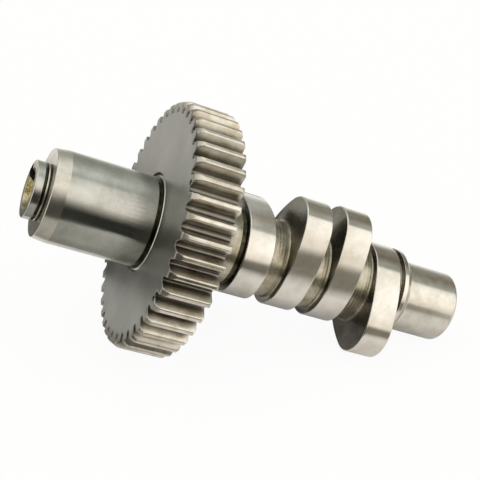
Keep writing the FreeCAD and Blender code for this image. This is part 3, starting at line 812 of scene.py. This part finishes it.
def makeFloor():
    half = studio["floorSize"] / 2
    corners = [(-half, -half, 0), (half, -half, 0), (half, half, 0), (-half, half, 0)]
    mesh = bpy.data.meshes.new("studioFloor")
    mesh.from_pydata(corners, [], [(0, 1, 2, 3)])
    material = bpy.data.materials.new("paleFloor")
    material.use_nodes = True
    tree = material.node_tree
    tree.nodes.clear()
    path = addNode(tree, "ShaderNodeLightPath")
    paper = addNode(tree, "ShaderNodeBsdfDiffuse", {"Color": colour(studio["floorColour"])})
    white = addNode(tree, "ShaderNodeEmission", {"Color": colour("#FFFFFF"), "Strength": 1.0})
    mirrored = addNode(tree, "ShaderNodeMath", {
        0: path.outputs["Is Glossy Ray"], 1: studio["mirroredShare"]}, operation="MULTIPLY")
    seen = addNode(tree, "ShaderNodeMath", {
        0: path.outputs["Is Camera Ray"], 1: studio["whiteShare"], 2: mirrored.outputs[0],
    }, operation="MULTIPLY_ADD")
    mixed = addNode(tree, "ShaderNodeMixShader", {
        0: seen.outputs[0], 1: paper.outputs[0], 2: white.outputs[0]})
    addNode(tree, "ShaderNodeOutputMaterial", {"Surface": mixed.outputs[0]})
    mesh.materials.append(material)
    addObject("studioFloor", mesh)


# The room as the steel mirrors it, from its left to its right: between which X of a direction
# each part takes over, then its colours by degrees of lean from straight up towards the front
room = [
    {"from": 0.0, "to": 0.0, "leans": [
        (-104, "#C6C6C2"), (-84, "#9A9A94"), (-68, "#90918A"), (-50, "#9C9D96"),
        (-33, "#CFCFCA"), (-16, "#E7E7E3"), (0, "#E8E7E1"), (17, "#DEDCD4"),
        (33, "#E4E0D8"), (62, "#E2DCD2"), (90, "#C8C0B4")]},
    {"from": 0.25, "to": 0.48, "leans": [
        (-104, "#CCCCC8"), (-86, "#A4A49E"), (-70, "#96978F"), (-54, "#A1A49D"),
        (-36, "#B5B8B4"), (-20, "#DFE2E0"), (-9, "#D2D7D5"), (-1, "#A7AFAC"),
        (7, "#D1D0C9"), (18, "#E9E6E0"), (36, "#FFFAF5"), (54, "#FBF4EB"),
        (70, "#F2E9DC"), (90, "#D2CABE")]},
    {"from": 0.48, "to": 0.54, "leans": [
        (-104, "#C4C4C0"), (-84, "#908F88"), (-70, "#726D65"), (-56, "#696357"),
        (-38, "#8A8578"), (-20, "#B4B3AB"), (-2, "#B0B0A8"), (8, "#CBC8C0"),
        (19, "#E6E2DA"), (38, "#F3EEE6"), (60, "#F3EDE4"), (74, "#E6DFD4"),
        (90, "#CCC3B6")]},
    {"from": 0.59, "to": 0.62, "leans": [
        (-104, "#BCBCB8"), (-80, "#8E8C85"), (-60, "#746F66"), (-38, "#5C5645"),
        (-24, "#757166"), (-14, "#8C8D86"), (-4, "#8B9085"), (2, "#A0A197"),
        (8, "#F0ECE4"), (28, "#FBF6EF"), (62, "#FFF9F1"), (76, "#F2EAE0"),
        (90, "#C9BFB1")]},
]


def makeWorld():
    world = bpy.data.worlds.new("softStudio")
    world.use_nodes = True
    bpy.context.scene.world = world
    tree = world.node_tree
    tree.nodes.clear()
    direction = addNode(tree, "ShaderNodeTexCoord").outputs["Generated"]
    parts = addNode(tree, "ShaderNodeSeparateXYZ", {0: direction})
    front = addNode(tree, "ShaderNodeMath", {0: parts.outputs["Y"], 1: -1.0}, operation="MULTIPLY")
    lean = addNode(tree, "ShaderNodeMath", {
        0: front.outputs[0], 1: parts.outputs["Z"]}, operation="ARCTAN2")
    share = addNode(tree, "ShaderNodeMath", {
        0: lean.outputs[0], 1: 1 / (2 * math.pi), 2: 0.5}, operation="MULTIPLY_ADD")
    seen = None
    for part in room:
        ramp = addNode(tree, "ShaderNodeValToRGB", {"Fac": share.outputs[0]})
        setRamp(ramp, [(0.5 + angle / 360, colour(hexCode)) for angle, hexCode in part["leans"]])
        if seen is None:
            seen = ramp.outputs[0]
            continue
        turned = addNode(tree, "ShaderNodeMapRange", {
            "Value": parts.outputs["X"], "From Min": part["from"], "From Max": part["to"]})
        both = addNode(tree, "ShaderNodeMix", {
            "Factor": turned.outputs[0], 6: seen, 7: ramp.outputs[0]}, data_type="RGBA")
        seen = both.outputs[2]
    path = addNode(tree, "ShaderNodeLightPath")
    light = addNode(tree, "ShaderNodeBackground", {"Color": seen, "Strength": studio["skyLight"]})
    white = addNode(tree, "ShaderNodeBackground", {"Color": colour("#FFFFFF"), "Strength": 1.0})
    mixed = addNode(tree, "ShaderNodeMixShader", {
        0: path.outputs["Is Camera Ray"], 1: light.outputs[0], 2: white.outputs[0],
    })
    addNode(tree, "ShaderNodeOutputWorld", {"Surface": mixed.outputs[0]})


# Cards round the shaft that only the steel mirrors, glowing with a fixed colour as painted
# reflections, in metres: two long edges, how dense the card is at each X, and from which share of
# the way to its far edge it fades
cards = {
    "bandCard": {  # stands low in front of the journal and gives its black band
        "colour": "#141914",
        "near": [
            (-0.16, -0.098, 0.0005), (-0.05, -0.098, 0.0005), (-0.04, -0.098, 0.0005),
            (-0.03, -0.098, 0.0005), (-0.02, -0.098, 0.0005), (0.0, -0.098, 0.0005),
            (0.035, -0.098, 0.0005)],
        "far": [
            (-0.16, -0.098, 0.175), (-0.05, -0.098, 0.175), (-0.04, -0.098, 0.165),
            (-0.03, -0.098, 0.135), (-0.02, -0.098, 0.105), (0.0, -0.098, 0.092),
            (0.035, -0.098, 0.04)],
        "dense": [(-0.16, 0.95), (-0.05, 0.95), (-0.03, 0.97), (0.0, 1), (0.035, 0)],
        "fadeFrom": 0.45,
    },
    "greyCard": {  # stands lower beside it and gives the lobes their grey band
        "colour": "#8C887B",
        "near": [
            (-0.01, -0.099, 0.0005), (0.05, -0.099, 0.0005), (0.08, -0.099, 0.0005),
            (0.15, -0.099, 0.0005)],
        "far": [
            (-0.01, -0.099, 0.04), (0.05, -0.099, 0.042), (0.08, -0.099, 0.038),
            (0.15, -0.099, 0.008)],
        "dense": [(-0.01, 0), (0.02, 1), (0.1, 1), (0.15, 0)], "fadeFrom": 0.65,
    },
    "greyFoot": {  # lies before it and carries the grey on down the lobes
        "colour": "#8C887B",
        "near": [(-0.01, -0.098, 0.0006), (0.15, -0.098, 0.0006)],
        "far": [(-0.01, -0.045, 0.0006), (0.15, -0.045, 0.0006)],
        "dense": [(-0.01, 0), (0.03, 1), (0.09, 1), (0.12, 0)], "fadeFrom": 0.45,
    },
    "footCard": {  # lies in front of the nose and greys the journal's lower side
        "colour": "#BFBDB5",
        "near": [(-0.16, -0.098, 0.0004), (-0.02, -0.098, 0.0004)],
        "far": [(-0.16, 0.003, 0.0004), (-0.02, 0.003, 0.0004)],
        "dense": [(-0.16, 1), (-0.045, 1), (-0.02, 0)], "fadeFrom": 1,
    },
    "underShadowCard": {  # painted shadow: a dark sheet for the shadowed paper right under the shaft
        "colour": "#2A2A26",
        "near": [
            (-0.09, 0.003, 0.0007), (-0.02, 0.004, 0.0007), (-0.005, 0.04, 0.0007),
            (0.03, 0.034, 0.0007), (0.045, 0.03, 0.0007), (0.07, 0.026, 0.0007)],
        "far": [
            (-0.09, -0.022, 0.0007), (-0.02, -0.022, 0.0007), (-0.005, -0.02, 0.0007),
            (0.03, -0.02, 0.0007), (0.045, -0.02, 0.0007), (0.07, -0.02, 0.0007)],
        "dense": [
            (-0.09, 0.28), (-0.03, 0.34), (0.0, 0.7), (0.025, 0.74), (0.045, 0.55), (0.07, 0.3)],
        "fadeFrom": 0.4,
    },
    "backCard": {  # lies behind and darkens the gear's face and the lobes' sides
        "colour": "#6B6B66",
        "near": [(-0.16, 0.035, 0.0004), (0.05, 0.035, 0.0004)],
        "far": [(-0.16, 0.13, 0.0004), (0.05, 0.13, 0.0004)],
        "dense": [(-0.16, 1), (0.05, 1)], "fadeFrom": 1,
    },
    "sideCard": {  # darker where the last lobe's side looks
        "colour": "#1C1C18",
        "near": [(-0.08, 0.07, 0.0008), (-0.02, 0.07, 0.0008)],
        "far": [(-0.08, 0.14, 0.0008), (-0.02, 0.14, 0.0008)],
        "dense": [(-0.08, 0), (-0.05, 0.95), (-0.02, 0.95)], "fadeFrom": 0.8,
    },
}


def makeCard(name, look):
    corners = look["near"] + look["far"]
    count = len(look["near"])
    mesh = bpy.data.meshes.new(name)
    faces = [(i, i + 1, count + i + 1, count + i) for i in range(count - 1)]
    mesh.from_pydata(corners, [], faces)
    left, right = look["dense"][0][0], look["dense"][-1][0]
    spread = mesh.uv_layers.new(name="spread")
    for loop in mesh.loops:
        along = (corners[loop.vertex_index][0] - left) / (right - left)
        spread.data[loop.index].uv = (along, loop.vertex_index // count)
    material = bpy.data.materials.new(name + "PaintedReflection")
    material.use_nodes = True
    tree = material.node_tree
    tree.nodes.clear()
    place = addNode(tree, "ShaderNodeUVMap", uv_map="spread").outputs[0]
    parts = addNode(tree, "ShaderNodeSeparateXYZ", {0: place})
    dense = addNode(tree, "ShaderNodeValToRGB", {"Fac": parts.outputs["X"]})
    setRamp(dense, [
        ((x - left) / (right - left), (share, share, share, 1)) for x, share in look["dense"]])
    fade = addNode(tree, "ShaderNodeMapRange", {
        "Value": parts.outputs["Y"],
        "From Min": look["fadeFrom"] - studio["fadeEarly"], "From Max": 1.0,
        "To Min": 1.0, "To Max": 0.0,
    })
    share = addNode(tree, "ShaderNodeMath", {
        0: dense.outputs[0], 1: fade.outputs[0]}, operation="MULTIPLY")
    # The card glows with its fixed colour, unlit: a painted reflection
    paper = addNode(tree, "ShaderNodeEmission", {"Color": colour(look["colour"])})
    clear = addNode(tree, "ShaderNodeBsdfTransparent")
    mixed = addNode(tree, "ShaderNodeMixShader", {
        0: share.outputs[0], 1: clear.outputs[0], 2: paper.outputs[0]})
    addNode(tree, "ShaderNodeOutputMaterial", {"Surface": mixed.outputs[0]})
    mesh.materials.append(material)
    card = addObject(name, mesh)
    card.visible_camera = False
    card.visible_diffuse = False
    card.visible_shadow = False


makeFloor()
makeWorld()
for cardName, cardLook in cards.items():
    makeCard(cardName, cardLook)

view = {
    "place": (-0.071520, -0.251888, 0.182720),  # m
    "turn": (59.6989, -7.6606, -10.6649),  # degrees
    "lens": 80.36, "sensor": 36,  # mm
    "nearest": 0.01,  # m
}
cameraData = bpy.data.cameras.new("photoCamera")
cameraData.lens = view["lens"]
cameraData.sensor_width = view["sensor"]
cameraData.clip_start = view["nearest"]
camera = addObject("photoCamera", cameraData)
camera.location = view["place"]
camera.rotation_euler = Euler([math.radians(angle) for angle in view["turn"]], "XYZ")
bpy.context.scene.camera = camera
bpy.context.scene.view_settings.view_transform = "Standard"
print("studio and camera set")
